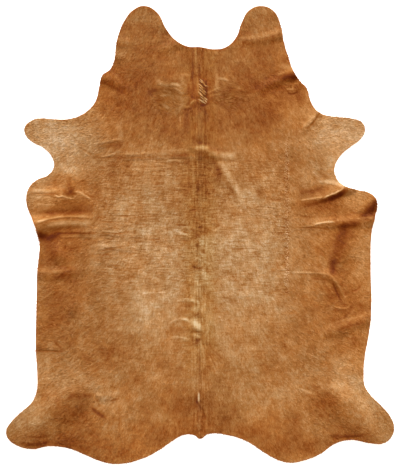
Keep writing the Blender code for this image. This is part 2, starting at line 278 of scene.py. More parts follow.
RIGHT_ELBOW = (
    # Painted light and shade of the elbow's fold: the white armpit is pale hair and a painted
    # highlight on the slope that faces the light; 'crest', 'ridge', 'ridge, thin end' and 'ridge, far
    # end' are painted highlights on crests; 'under the crest', 'darkest', 'corner', 'ridge, above',
    # 'ridge, under' and 'dark knot' are painted shade under crests and on sides turned from the
    # light.
    Mark("armpit, white and painted light", (620, 268), (672, 262), (725, 240), 16, 0.44),
    Mark("armpit, wisp", (590, 262), (620, 270), (650, 262), 9, 0.24),
    Mark("armpit, rust", (590, 320), (625, 295), (650, 272), 18, -0.18),
    Mark("armpit, low rust", (480, 196), (560, 220), (655, 236), 30, -0.24),
    Mark("crest", (490, 172), (560, 182), (620, 192), 8, 0.28, 1),
    Mark("crest, fringe", (610, 188), (665, 206), (720, 236), 7, 0.30, 1),
    Mark("fringe 1", (715, 236), (705, 225), (690, 216), 6, 0.30, 2),
    Mark("fringe 2", (690, 222), (680, 210), (664, 202), 6, 0.34, 2),
    Mark("fringe 3", (665, 210), (652, 200), (636, 194), 6, 0.30, 2),
    Mark("fringe 4", (640, 200), (628, 188), (610, 182), 6, 0.34, 2),
    Mark("fringe 5", (610, 192), (596, 180), (578, 176), 6, 0.24, 1),
    Mark("under the crest", (510, 150), (640, 172), (740, 222), 22, -0.20),
    Mark("darkest", (640, 178), (690, 200), (738, 234), 22, -0.50, -1),
    Mark("corner", (890, 180), (858, 132), (790, 70), 34, -0.36),
    Mark("ridge, above", (490, 92), (540, 90), (590, 84), 8, -0.18, -1),
    Mark("ridge", (560, 50), (620, 63), (680, 66), 7, 0.52, 2),
    Mark("ridge, thin end", (490, 40), (530, 43), (570, 50), 6, 0.24, 1),
    Mark("ridge, under", (470, 34), (570, 37), (655, 22), 7, -0.24, -1),
    Mark("ridge, far end", (775, 76), (825, 86), (865, 80), 11, 0.24, 1),
    Mark("dark knot", (690, 40), (740, 50), (800, 56), 30, -0.30),
    Mark("dark fall", (738, 20), (695, -40), (672, -140), 46, -0.22),
    Mark("dark fall, low", (668, -120), (662, -165), (672, -195), 28, -0.30),
)
RIGHT_BELLY = (
    # Painted light and shade: 'line', 'ridge', 'hook' and 'thigh light' are painted highlights on
    # small crests; 'ridge, dark side', 'dark', 'crease', 'hook, dark side' and 'thigh trough' are
    # painted shade in a crease, a valley and on sides turned from the light.
    Mark("line", (440, -186), (560, -188), (655, -196), 9, 0.20, 1),
    Mark("ridge", (635, -185), (690, -250), (735, -345), 10, 0.20, 1),
    Mark("ridge, dark side", (660, -228), (680, -280), (712, -344), 9, -0.32, -1),
    Mark("dark", (545, -214), (600, -220), (655, -226), 13, -0.18),
    Mark("crease", (750, -282), (785, -272), (810, -240), 8, -0.24, -2),
    Mark("hook", (665, -355), (720, -367), (752, -342), 10, 0.20, 2),
    Mark("hook, dark side", (760, -352), (746, -384), (714, -416), 14, -0.20),
    Mark("thigh trough", (670, -482), (750, -452), (830, -434), 13, -0.22),
    Mark("thigh light", (650, -442), (750, -418), (850, -394), 13, 0.10),
    Mark("hip, rust spot", (560, -745), (580, -764), (605, -750), 16, -0.24),
    Mark("hip, pale line", (490, -762), (530, -780), (590, -800), 9, 0.18),
    Mark("hip, foot lines", (640, -1002), (745, -1006), (840, -994), 14, -0.22),
    Mark("hock", (892, -880), (888, -930), (894, -985), 8, -0.10, -1),
)
ROUND_THE_WHORLS = (
    Mark("band", (-222, 785), (-192, 758), (-150, 744), 16, 0.20),
    Mark("brightest", (-150, 750), (-122, 754), (-94, 738), 14, 0.34, 1),
    Mark("inner", (-132, 736), (-106, 722), (-80, 702), 10, 0.26, 1),
    Mark("gap", (-140, 722), (-116, 708), (-92, 690), 7, -0.14, -1),
    Mark("dark line", (-205, 730), (-170, 727), (-130, 722), 9, -0.11),
    Mark("middle", (-204, 694), (-180, 697), (-150, 699), 8, 0.28, 1),
    Mark("inside", (-110, 700), (-90, 665), (-100, 635), 30, 0.12),
    Mark("low", (-200, 664), (-175, 646), (-155, 628), 14, 0.16),
    Mark("drop", (-92, 660), (-98, 640), (-102, 610), 10, 0.12),
    Mark("drop, tail", (-98, 600), (-100, 585), (-96, 560), 10, 0.12),
    Mark("rust, left", (-262, 708), (-225, 724), (-190, 738), 18, -0.20),
    Mark("rust, right", (-75, 780), (-60, 755), (-52, 715), 15, -0.16),
    Mark("above the band", (-150, 772), (-120, 768), (-85, 766), 14, -0.16),
    Mark("crown", (-92, 798), (-70, 802), (-45, 796), 12, 0.14),
    Mark("right, upright", (72, 835), (85, 785), (78, 730), 16, 0.18),
    Mark("right, level", (80, 780), (115, 781), (150, 768), 9, 0.26, 1),
    Mark("right, fan", (32, 708), (65, 724), (105, 742), 7, 0.26),
    Mark("right, low fan", (32, 689), (70, 700), (115, 706), 7, 0.20),
)
NECK_SPINE = (
    Mark("nape, dark", (-35, 950), (-36, 810), (-35, 670), 12, -0.15, -1),
    Mark("nape, pale", (-21, 950), (-20, 880), (-17, 800), 7, 0.22),
    # Painted light and shade: the dark gaps between the tuft's strands are painted shade, and 'tuft,
    # shadow' and 'tuft, left dark' painted shadows below its tips; 'above the bump', 'under the bump'
    # and 'beside it' are painted shade on sides turned from the light; 'bump', its two arms and
    # 'right diagonal' are partly golden hair and partly painted highlights on slopes facing the
    # light.
    Mark("tuft, pale root", (-18, 790), (-12, 745), (-10, 690), 18, 0.22),
    Mark("tuft, shaded gaps", (18, 775), (22, 725), (24, 668), 26, -0.40),
    Mark("tuft, shadow", (0, 650), (22, 650), (46, 662), 11, -0.42),
    Mark("tuft, left tips", (-50, 648), (-36, 668), (-18, 672), 8, 0.34, 2),
    Mark("tuft, left dark", (-80, 628), (-60, 628), (-36, 640), 10, -0.26),
    Mark("tuft, left wisp", (-76, 640), (-62, 641), (-48, 640), 6, 0.24, 1),
    Mark("tuft, left rust", (-48, 700), (-36, 686), (-22, 680), 12, -0.20),
    Mark("withers, pale", (-10, 640), (0, 565), (-4, 480), 22, 0.10),
    Mark("withers, dark", (-62, 625), (-70, 575), (-64, 510), 24, -0.20),
    Mark("withers, rust", (16, 636), (30, 610), (40, 560), 14, -0.16),
    Mark("above the bump", (-20, 459), (20, 460), (60, 454), 8, -0.18),
    Mark("bump", (-32, 433), (6, 438), (46, 431), 18, 0.34, 2),
    Mark("under the bump", (-16, 400), (24, 388), (66, 366), 28, -0.08, 1),
    Mark("bump, right arm", (40, 418), (110, 400), (190, 392), 24, 0.20, 1),
    Mark("bump, left arm", (-210, 421), (-125, 424), (-40, 420), 8, 0.10, 0.5),
    Mark("left arm, shade", (-210, 395), (-125, 396), (-35, 402), 12, -0.14, -1),
    Mark("left arc", (-176, 366), (-135, 374), (-90, 369), 7, 0.20, 1),
    Mark("right diagonal", (90, 372), (145, 300), (215, 170), 24, 0.16),
    Mark("beside it", (56, 385), (115, 290), (200, 165), 18, -0.16),
    Mark("strand 1", (-62, 420), (-56, 300), (-60, 180), 9, -0.14),
    Mark("strand 2", (-40, 390), (-34, 290), (-40, 200), 8, 0.14),
)
BACK_SPINE = (
    # Painted light and shade: 'tips', the arcs and the two lobes are partly pale hair and partly
    # painted highlights on small crests; the marks under the tips, under the arcs, between the arcs,
    # under the lobe and 'hole' are painted shade below them and in a dip; the tail's pale mark is a
    # painted highlight and its dark mark painted shade below it.
    Mark("dark dash", (-130, 53), (-90, 50), (-45, 48), 8, -0.30, -1),
    Mark("dark dash, right", (-50, 36), (-16, 5), (18, -28), 10, -0.24),
    Mark("wisp", (-145, 32), (-90, 9), (-36, -12), 8, 0.28, 1),
    Mark("wisp, right", (55, 8), (90, 35), (135, 56), 9, 0.16),
    Mark("rust knot", (-20, -30), (0, -65), (24, -90), 20, -0.28),
    Mark("tips", (-34, -136), (-10, -114), (4, -132), 8, 0.28, 1),
    Mark("under the tips", (-44, -144), (-10, -166), (34, -144), 9, -0.30, -1),
    Mark("left notch", (-118, -132), (-100, -158), (-88, -178), 8, -0.16),
    Mark("gold", (-22, -180), (-18, -240), (-16, -300), 26, 0.16),
    Mark("arc 1", (-125, -332), (-62, -322), (-18, -337), 11, 0.22, 1),
    Mark("arc 1, end", (-22, -328), (-6, -343), (-8, -366), 10, 0.30, 1),
    Mark("under arc 1", (-115, -360), (-72, -352), (-30, -366), 15, -0.18),
    Mark("between arcs", (-42, -378), (-22, -400), (-2, -378), 12, -0.28),
    Mark("between arcs, left", (-120, -388), (-80, -382), (-40, -384), 18, -0.14),
    Mark("arc 2", (-160, -450), (-112, -420), (-50, -426), 11, 0.20, 1.5),
    Mark("arc 2, bright", (-94, -422), (-70, -424), (-46, -434), 10, 0.30, 1),
    Mark("lobe", (-36, -426), (-14, -448), (8, -466), 24, 0.46, 1),
    Mark("under arc 2", (-150, -476), (-90, -469), (-40, -480), 22, -0.10),
    Mark("under the lobe", (-40, -480), (-12, -484), (10, -484), 7, -0.24, -1),
    Mark("second lobe", (-44, -497), (-22, -502), (-4, -508), 14, 0.20, 1),
    Mark("hole", (-20, -522), (-8, -526), (4, -518), 12, -0.40, -1),
    Mark("hole, left", (-34, -506), (-36, -522), (-30, -538), 7, -0.22),
    Mark("arc 3", (-160, -516), (-100, -510), (-44, -530), 10, 0.18, 1),
    Mark("under arc 3", (-66, -550), (-30, -545), (0, -532), 9, -0.26),
    Mark("parting", (-2, -540), (-3, -690), (-3, -840), 5, -0.20, -1),
    Mark("strand, pale", (7, -540), (19, -605), (20, -680), 9, 0.22),
    Mark("strand, pale 2", (20, -540), (44, -590), (60, -640), 7, 0.16),
    Mark("strand, dark", (28, -555), (54, -610), (84, -665), 7, -0.22),
    Mark("strand, dark 2", (34, -530), (80, -590), (140, -640), 8, -0.16),
    Mark("loin, arc", (-140, -590), (-90, -570), (-50, -600), 10, -0.14),
    Mark("loin, dark", (-125, -650), (-110, -665), (-80, -660), 12, -0.16),
    Mark("tail, painted highlight", (-5, -786), (-6, -810), (-6, -834), 9, 0.60, 1),
    Mark("tail, dark", (-22, -828), (-6, -845), (1, -872), 9, -0.30),
)
BACK_LINES = (
    # Painted light and shade: the dark lines with a negative rise are painted shade in thin creases
    # across the back, 'left, light' and 'loin, left' painted highlights beside them, and 'loin, left,
    # low' painted shade below one.
    Mark("left, high", (-520, 62), (-430, 66), (-330, 58), 7, -0.20, -1),
    Mark("left, middle", (-515, 12), (-430, 8), (-340, 14), 7, -0.24, -1),
    Mark("left, light", (-500, 22), (-430, 20), (-360, 24), 7, 0.14),
    Mark("left, low", (-490, -110), (-470, -96), (-440, -108), 8, -0.26, -1),
    Mark("left, long", (-400, -16), (-260, -22), (-100, -14), 6, -0.18, -1),
    Mark("left, highest", (-460, 90), (-350, 94), (-240, 86), 7, -0.20, -1),
    Mark("loin, left", (-300, -292), (-230, -288), (-160, -284), 8, 0.20, 1),
    Mark("loin, left, low", (-260, -336), (-200, -340), (-140, -334), 6, -0.14),
    Mark("loin, right", (100, -300), (150, -318), (180, -340), 18, -0.16),
)
MARKS = LEFT_ELBOW + LEFT_FLANK + LEFT_FRONT + RIGHT_FRONT + RIGHT_ELBOW + RIGHT_BELLY
MARKS += ROUND_THE_WHORLS + NECK_SPINE + BACK_SPINE + BACK_LINES


def marks_at(x, y):
    """How far the marks lift the hair at each point, and how much paler they make it: the hair's
    own colour together with the marks' painted light and shade.
    """
    rise, tone = np.zeros(len(x)), np.zeros(len(x))
    for mark in MARKS:
        close, share = near_mark(mark, x, y)
        rise[close] += mark.rise * MM * share
        tone[close] += mark.tone * share
    return rise, tone


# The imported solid, read as height maps


def soften(values, known):
    """Blurs a map over its known part only, which also carries it a little past the rim."""
    reach = int(4 * SOFTENING / PITCH)
    steps = np.arange(-reach, reach + 1) * PITCH
    weights = np.exp(-0.5 * (steps / SOFTENING) ** 2)

    def blur(array):
        for axis in (0, 1):
            array = np.apply_along_axis(np.convolve, axis, array, weights, "same")
        return array

    return blur(np.where(known, values, 0)) / np.maximum(blur(known.astype(float)), 1e-9)


class Ground:
    """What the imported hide's underside, top and rim say about any point of the plan."""

    def __init__(self, hide, rim):
        low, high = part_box("hide")
        margin = 6 * PITCH
        self.x = np.arange(low.x - margin, high.x + margin, PITCH)
        self.y = np.arange(low.y - margin, high.y + margin, PITCH)
        tree = BVHTree.FromObject(hide, bpy.context.evaluated_depsgraph_get())
        shape = (len(self.y), len(self.x))
        under, top = np.zeros(shape), np.zeros(shape)
        known = np.zeros(shape, bool)
        up, down = Vector((0, 0, 1)), Vector((0, 0, -1))
        for row, y in enumerate(self.y):
            for column, x in enumerate(self.x):
                below = tree.ray_cast(Vector((x, y, -1)), up)[0]
                if below is None:
                    continue
                known[row, column] = True
                under[row, column] = below.z
                top[row, column] = tree.ray_cast(Vector((x, y, 1)), down)[0].z
        self.under = soften(under, known)
        self.top = soften(top, known)
        edge = KDTree(len(rim))
        for number, point in enumerate(rim):
            edge.insert(point, number)
        edge.balance()
        self.depth = np.zeros(shape)
        for row, y in enumerate(self.y):
            for column, x in enumerate(self.x):
                distance = edge.find((x, y, 0))[2]
                self.depth[row, column] = distance if known[row, column] else -distance

    def read(self, grid, x, y):
        """A map's value at each point, between its grid's four nearest points."""
        column = np.clip((x - self.x[0]) / PITCH, 0, len(self.x) - 1.001)
        row = np.clip((y - self.y[0]) / PITCH, 0, len(self.y) - 1.001)
        c, r = column.astype(int), row.astype(int)
        right, above = column - c, row - r
        low = grid[r, c] * (1 - right) + grid[r, c + 1] * right
        high = grid[r + 1, c] * (1 - right) + grid[r + 1, c + 1] * right
        return low * (1 - above) + high * above

    def flesh(self, x, y):
        """Where the leather's underside lies."""
        return np.maximum(self.read(self.under, x, y), 0)

    def leather(self, x, y):
        """Where the leather's hair side lies."""
        return self.flesh(x, y) + LEATHER

    def coat(self, x, y):
        """How deep the hair lies on the leather."""
        return np.maximum(self.read(self.top - self.under, x, y) - LEATHER, 1 * MM)


# Leather


def plan_of(hide):
    """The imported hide's underside, flattened and joined into one face."""
    plan = bmesh.new()
    plan.from_mesh(hide.data)
    bmesh.ops.remove_doubles(plan, verts=plan.verts, dist=0.01 * MM)
    plan.normal_update()
    others = [face for face in plan.faces if face.normal.z > DOWNWARD]
    bmesh.ops.delete(plan, geom=others, context="FACES")
    for vert in plan.verts:
        vert.co.z = 0
    bmesh.ops.dissolve_faces(plan, faces=plan.faces)
    return plan


def rim_points(plan):
    """The outline's points, with more added between them."""
    points = []
    for edge in plan.edges:
        start, end = (vert.co.copy() for vert in edge.verts)
        pieces = max(1, int((end - start).length / MM))
        points += [start.lerp(end, number / pieces) for number in range(pieces)]
    return points


def make_skin(plan, ground, coat, flesh):
    """The leather as a closed sheet, with the hair side's finish above and the flesh side's below."""
    across, along = Vector((1, 0, 0)), Vector((0, 1, 0))
    for axis, span in ((across, SQUARES_ACROSS), (along, SQUARES_ALONG)):
        for place in np.arange(-span / 2, span / 2, CELL):
            everything = plan.verts[:] + plan.edges[:] + plan.faces[:]
            bmesh.ops.bisect_plane(plan, geom=everything, plane_co=axis * place, plane_no=axis)
    lower = plan.verts[:]
    underside = plan.faces[:]
    made = bmesh.ops.extrude_face_region(plan, geom=underside, use_keep_orig=True)["geom"]
    upper = [item for item in made if isinstance(item, bmesh.types.BMVert)]
    tops = {item for item in made if isinstance(item, bmesh.types.BMFace)}
    for verts, height_at in ((lower, ground.flesh), (upper, ground.leather)):
        places = np.array([vert.co[:2] for vert in verts])
        for vert, height in zip(verts, height_at(places[:, 0], places[:, 1])):
            vert.co.z = height
    for face in plan.faces:
        face.smooth = True
        face.material_index = 0 if face in tops else 1
    bmesh.ops.recalc_face_normals(plan, faces=plan.faces)
    mesh = bpy.data.meshes.new("skin")
    plan.to_mesh(mesh)
    plan.free()
    mesh.materials.append(coat)
    mesh.materials.append(flesh)
    return new_piece("skin", mesh)


def new_piece(name, mesh):
    piece = bpy.data.objects.new(name, mesh)
    bpy.context.scene.collection.objects.link(piece)
    return piece


def map_from_above(mesh):
    """A plan view of the piece as its map for baking, filling the square."""
    places = np.empty(len(mesh.vertices) * 3)
    mesh.vertices.foreach_get("co", places)
    places = places.reshape(-1, 3)[:, :2]
    low, high = places.min(axis=0), places.max(axis=0)
    corners = np.empty(len(mesh.loops), int)
    mesh.loops.foreach_get("vertex_index", corners)
    spread = (places[corners] - low) / (high - low)
    mesh.uv_layers.new(name="OFBake").uv.foreach_set("vector", spread.ravel())


# Hair

LOCK_SHAPE = (  # share of the length, half width, share of the coat's depth
    (0.0, 0.50, 0.0),
    (0.55, 0.46, 0.8),
    (1.0, 0.0, 1.0),
)


def locks(name, x, y, direction, length, width, lift, tint, ground, coat):
    """One pointed lock of hair at each root, all in one mesh. Its arrays are one value a lock."""
    dice = np.random.default_rng(SEED + len(x))
    dx, dy = direction
    roll = dice.normal(0, ROLL, len(x))
    bend = dice.normal(0, BEND, len(x))
    chance = dice.uniform(0, 100, len(x))
    points, tints, grain = [], [], []
    for share, half, rise in LOCK_SHAPE:
        reach = length * share
        centre_x = x + dx * reach - dy * bend * reach * share
        centre_y = y + dy * reach + dx * bend * reach * share
        for side in (-1, 1) if half else (0,):
            px = centre_x - dy * side * half * width
            py = centre_y + dx * side * half * width
            tilt = side * half * width * np.sin(roll)
            # paler is the marks' tone: their colour and their painted light and shade together
            lifted, paler = marks_at(px, py)
            pz = ground.leather(px, py) + ground.coat(px, py) * lift * rise + lifted + tilt
            pz = np.maximum(pz, 0.3 * MM)
            points.append(np.stack([px, py, pz], axis=1))
            tints.append(tint + paler)
            grain.append(np.stack([np.full(len(x), side * 1.0), np.full(len(x), share), chance], 1))
    count = len(points)
    first = np.arange(len(x))[:, None] * count
    corners = np.concatenate([first + [0, 1, 3, 2], first + [2, 3, 4]], axis=1).ravel()
    sizes = np.tile([4, 3], len(x))
    mesh = bpy.data.meshes.new(name)
    mesh.vertices.add(count * len(x))
    mesh.vertices.foreach_set("co", np.stack(points, axis=1).ravel())
    mesh.loops.add(len(corners))
    mesh.loops.foreach_set("vertex_index", corners)
    mesh.polygons.add(len(sizes))
    mesh.polygons.foreach_set("loop_start", np.concatenate([[0], np.cumsum(sizes)[:-1]]))
    mesh.update(calc_edges=True)
    tone = mesh.attributes.new("tint", "FLOAT", "POINT")
    tone.data.foreach_set("value", np.stack(tints, axis=1).ravel())
    strand = mesh.attributes.new("strand", "FLOAT_VECTOR", "POINT")
    strand.data.foreach_set("vector", np.stack(grain, axis=1).ravel())
    mesh.shade_smooth()
    mesh.materials.append(coat)
    map_from_above(mesh)
    return new_piece(name, mesh)


def roots_between(low, high, spacing, ground, dice):
    """Roots scattered evenly over the stretch of the hide between two places along the spine."""
    columns = np.arange(ground.x[0], ground.x[-1], spacing)
    rows = np.arange(low, high, spacing)
    x, y = (grid.ravel() for grid in np.meshgrid(columns, rows))
    x = x + dice.uniform(-0.5, 0.5, len(x)) * spacing
    y = y + dice.uniform(-0.5, 0.5, len(y)) * spacing
    inside = ground.read(ground.depth, x, y) > 1.0 * MM
    return x[inside], y[inside]


def streaks_at(x, y, dx, dy):
    """Noise drawn out along the hair, from about -1 to 1.

    Its five samples partly cancel out, so their sum is divided by less than five.
    """
    steps = np.arange(-2, 3) * STREAK
    return 0.9 * sum(cloud(x + dx * t, y + dy * t, STREAK, STREAK, 7) for t in steps) / 2.2


def coat_between(name, low, high, ground, coat):
    """The lying hair on one stretch of the hide."""
    dice = np.random.default_rng(SEED + int(1000 * (low + 2)))
    x, y = roots_between(low, high, SPACING, ground, dice)
    dx, dy = lie_of_hair(x, y)
    streaks = streaks_at(x, y, dx, dy)
    stray = dice.normal(0, STRAY, len(x))
    dx, dy = dx * np.cos(stray) - dy * np.sin(stray), dx * np.sin(stray) + dy * np.cos(stray)
    on_legs = smooth((np.abs(x) - LEGS_FROM) / LEGS_OVER)
    length = LOCK_LENGTH * (1 - 0.25 * on_legs) * dice.uniform(0.75, 1.25, len(x))
    for _ in range(3):
        depth = ground.read(ground.depth, x + dx * length, y + dy * length)
        length = np.where(depth < -OVERHANG * dice.uniform(0.2, 1.2, len(x)), length * 0.6, length)
    ruffle = cloud(x, y, 0.055, 0.018, 5) * 0.5 + cloud(x, y, 0.020, 0.012, 6) * 0.5
    lift = 1 + 0.4 * ruffle + dice.normal(0, 0.22, len(x)) * (1 - 0.6 * on_legs)
    # Painted shade: the hair is darkened towards the cut edge.
    rim_shade = smooth(1 - ground.read(ground.depth, x, y) / RIM)
    # 0.03 * ruffle makes the raised locks a little paler: painted light on the ruffles, whose lift
    # catches the light.
    tint = 0.03 * ruffle + 0.08 * streaks - 0.12 * rim_shade + dice.normal(0, 0.05, len(x))
    return locks(name, x, y, (dx, dy), length, LOCK_WIDTH, lift, tint, ground, coat)


def fine_hair(name, low, high, ground, coat):
    """Short hair that covers the marks closely enough to show them crisply."""
    dice = np.random.default_rng(SEED + int(1000 * (low + 5)))
    x, y = roots_between(low, high, FINE_SPACING, ground, dice)
    tone = marks_at(x, y)[1]
    marked = np.abs(tone) > FAINT
    x, y = x[marked], y[marked]
    dx, dy = lie_of_hair(x, y)
    length = FINE_LENGTH * dice.uniform(0.8, 1.2, len(x))
    lift = 1.25 + dice.normal(0, 0.1, len(x))
    tint = 0.08 * streaks_at(x, y, dx, dy) + dice.normal(0, 0.05, len(x))
    return locks(name, x, y, (dx, dy), length, FINE_WIDTH, lift, tint, ground, coat)


STRETCHES = (
    ("hair_rump", -1.16, -0.66),
    ("hair_loin", -0.66, -0.20),
    ("hair_back", -0.20, 0.28),
    ("hair_neck", 0.28, 1.16),
)
MARKED_STRETCHES = (
    ("fine_hair_behind", -1.00, 0.08),
    ("fine_hair_in_front", 0.08, 1.10),
)


TUFT_TOP, TUFT_DEPTH = 0.790, 0.108
TUFT_WIDTH = 1.9 * MM  # of one of its hairs


def crest_tuft(ground, coat):
    """The long pale hair that stands across the withers where two lies of hair meet.

    It has clumped into nine pointed strands, one below the other, the lowest the palest.
    """
    dice = np.random.default_rng(SEED)
    strands, hairs = 9, 22
    place = np.repeat(np.linspace(0, 1, strands), hairs)
    angle = radians(-46) + radians(14) * place**3 + np.repeat(dice.normal(0, 0.06, strands), hairs)
    angle = angle + dice.normal(0, 0.025, strands * hairs)
    step_x, step_y = np.cos(angle), np.sin(angle)
    aside = dice.normal(0, 0.5 * MM, strands * hairs)
    along = dice.uniform(0, 30, strands * hairs) * MM
    left = np.repeat(dice.normal(-0.012, 0.003, strands), hairs)
    x = left + along * step_x - aside * step_y
    y = TUFT_TOP - TUFT_DEPTH * place + along * step_y + aside * step_x
    length = dice.uniform(24, 34, strands * hairs) * MM
    lift = dice.uniform(1.3, 2.0, strands * hairs)
    tint = 0.62 + 0.22 * place**4 + dice.normal(0, 0.08, strands * hairs)
    return locks("crest_tuft", x, y, (step_x, step_y), length, TUFT_WIDTH, lift, tint, ground, coat)


# Materials


class Wire:
    """A value, colour or vector on its way through a material, so that its maths reads as such."""

    def __init__(self, finish, socket):
        self.finish = finish
        self.socket = socket

    def maths(self, operation, *values, clamp=False):
        settings = {"operation": operation, "use_clamp": clamp}
        return self.finish.node("ShaderNodeMath", settings, dict(enumerate(values)))

    def __add__(self, other):
        return self.maths("ADD", self, other)

    def __sub__(self, other):
        return self.maths("SUBTRACT", self, other)

    def __mul__(self, other):
        return self.maths("MULTIPLY", self, other)

    def __rsub__(self, other):
        return self.maths("SUBTRACT", other, self)

    def __abs__(self):
        return self.maths("ABSOLUTE", self)

    __radd__ = __add__
    __rmul__ = __mul__

    def clamped(self):
        return self.maths("ADD", self, 0, clamp=True)

    def between(self, low, high):
        """0 below the low value, 1 above the high one and smooth in between."""
        settings = {"interpolation_type": "SMOOTHSTEP"}
        return self.finish.node("ShaderNodeMapRange", settings, {0: self, 1: low, 2: high})


class Finish:
    """A material in the making, around its Principled shader."""

    def __init__(self, name, **constants):
        self.material = bpy.data.materials.new(name)
        self.material.use_nodes = True
        self.nodes = self.material.node_tree.nodes
        self.links = self.material.node_tree.links
        self.surface = self.nodes["Principled BSDF"]
        for socket, value in constants.items():
            self.surface.inputs[socket.replace("_", " ")].default_value = value

    def node(self, kind, settings=None, values=None, output=0):
        """Adds a node, makes its settings, feeds its sockets, and gives one of its outputs."""
        node = self.nodes.new(kind)
        for name, setting in (settings or {}).items():
            if name == "stops":
                self.set_stops(node.color_ramp, setting)
            else:
                setattr(node, name, setting)
        for socket, value in (values or {}).items():
            self.feed(node.inputs[socket], value)
        return Wire(self, node.outputs[output])

    def set_stops(self, ramp, stops):
        for place, colour in stops[2:]:
            ramp.elements.new(place)
        for element, (place, colour) in zip(ramp.elements, stops):
            element.position = place
            element.color = (*colour, 1)

    def feed(self, socket, value):
        if isinstance(value, Wire):
            self.links.new(value.socket, socket)
        else:
            socket.default_value = value

    def place(self):
        return self.node("ShaderNodeTexCoord", output="Object")

    def axis(self, name):
        return self.node("ShaderNodeSeparateXYZ", None, {0: self.place()}, name)

    def stretched(self, scale):
        return self.node("ShaderNodeMapping", None, {"Vector": self.place(), "Scale": scale})

    def noise(self, vector, scale, detail=2, roughness=0.5, distortion=0):
        """Noise about zero, from about -0.5 to 0.5."""
        values = {"Vector": vector, "Scale": scale, "Detail": detail, "Roughness": roughness}
        values["Distortion"] = distortion
        return self.node("ShaderNodeTexNoise", None, values) - 0.5

    def patch(self, centre, reach, turn):
        """1 at the centre of an ellipse and 0 outside it."""
        settings = {"vector_type": "TEXTURE"}
        values = {
            "Vector": self.place(),
            "Location": (*centre, 0),
            "Rotation": (0, 0, radians(turn)),
            "Scale": (*reach, 1),
        }
        local = self.node("ShaderNodeMapping", settings, values)
        ball = self.node("ShaderNodeTexGradient", {"gradient_type": "SPHERICAL"}, {0: local}, 1)
        return ball.between(0, 1)

    def mix(self, share, first, second, blend="MIX"):
        settings = {"data_type": "RGBA", "blend_type": blend}
        return self.node("ShaderNodeMix", settings, {0: share, 6: first, 7: second}, 2)

    def bump(self, height, distance):
        values = {"Height": height, "Distance": distance, "Strength": 1}
        return self.node("ShaderNodeBump", None, values)

    def wear(self, **wires):
        """Feeds the shader's own sockets and gives the finished material."""
        for socket, value in wires.items():
            self.feed(self.surface.inputs[socket.replace("_", " ")], value)
        return self.material


def linear(red, green, blue):
    """A colour as a screen shows it, from 0 to 255, in the shader's linear scale."""
    return tuple(((value / 255 + 0.055) / 1.055) ** 2.4 for value in (red, green, blue))


# The coat's colours, from the darkest hair to the palest
COAT_TONES = (
    (0.0, linear(108, 45, 7)),
    (0.25, linear(147, 81, 27)),
    (0.5, linear(178, 120, 62)),
    (0.75, linear(204, 157, 105)),
    (1.0, linear(233, 201, 163)),
)
# What the colours are multiplied by where the coat is ruddier, where it has faded, most of all
# on the back, and along the spine
RUSTY = (1.06, 0.98, 0.80, 1)
FADED = (0.92, 1.045, 1.19, 1)
GOLDEN = (1.0, 1.0, 0.87, 1)

# Where the coat is more faded than its middle, or ruddier
Fade = namedtuple("Fade", "name centre reach amount")
FADES = (
    Fade("right flank", (0.74, -0.20), (0.26, 0.80), -0.55),
    Fade("right elbow", (0.72, 0.16), (0.26, 0.18), -0.35),
    # The left elbow's ruddier hue is painted shade: the warm colour of the shade on its fold's shaded
    # side.
    Fade("left elbow", (-0.70, 0.11), (0.26, 0.24), -0.85),
    Fade("left flank", (-0.66, -0.08), (0.20, 0.16), -0.35),
    Fade("right neck", (0.46, 0.74), (0.28, 0.36), -0.75),
    Fade("left neck", (-0.46, 0.72), (0.24, 0.28), -0.45),
    Fade("left loin", (-0.46, -0.45), (0.28, 0.60), 0.25),
    Fade("left foreleg", (-0.78, 0.49), (0.28, 0.26), 0.15),
    Fade("left hind foot", (-0.90, -0.94), (0.26, 0.22), 0.70),
    Fade("right hind foot", (0.92, -1.00), (0.20, 0.20), 0.30),
    Fade("rump", (0.15, -0.80), (0.24, 0.22), 0.50),
    Fade("tuft", (0.01, 0.73), (0.09, 0.12), -0.80),
    Fade("left ear", (-0.26, 1.08), (0.20, 0.16), 0.45),
    Fade("right ear", (0.28, 1.10), (0.20, 0.14), 0.30),
    Fade("middle of the neck", (0.14, 0.92), (0.20, 0.18), 0.30),
)

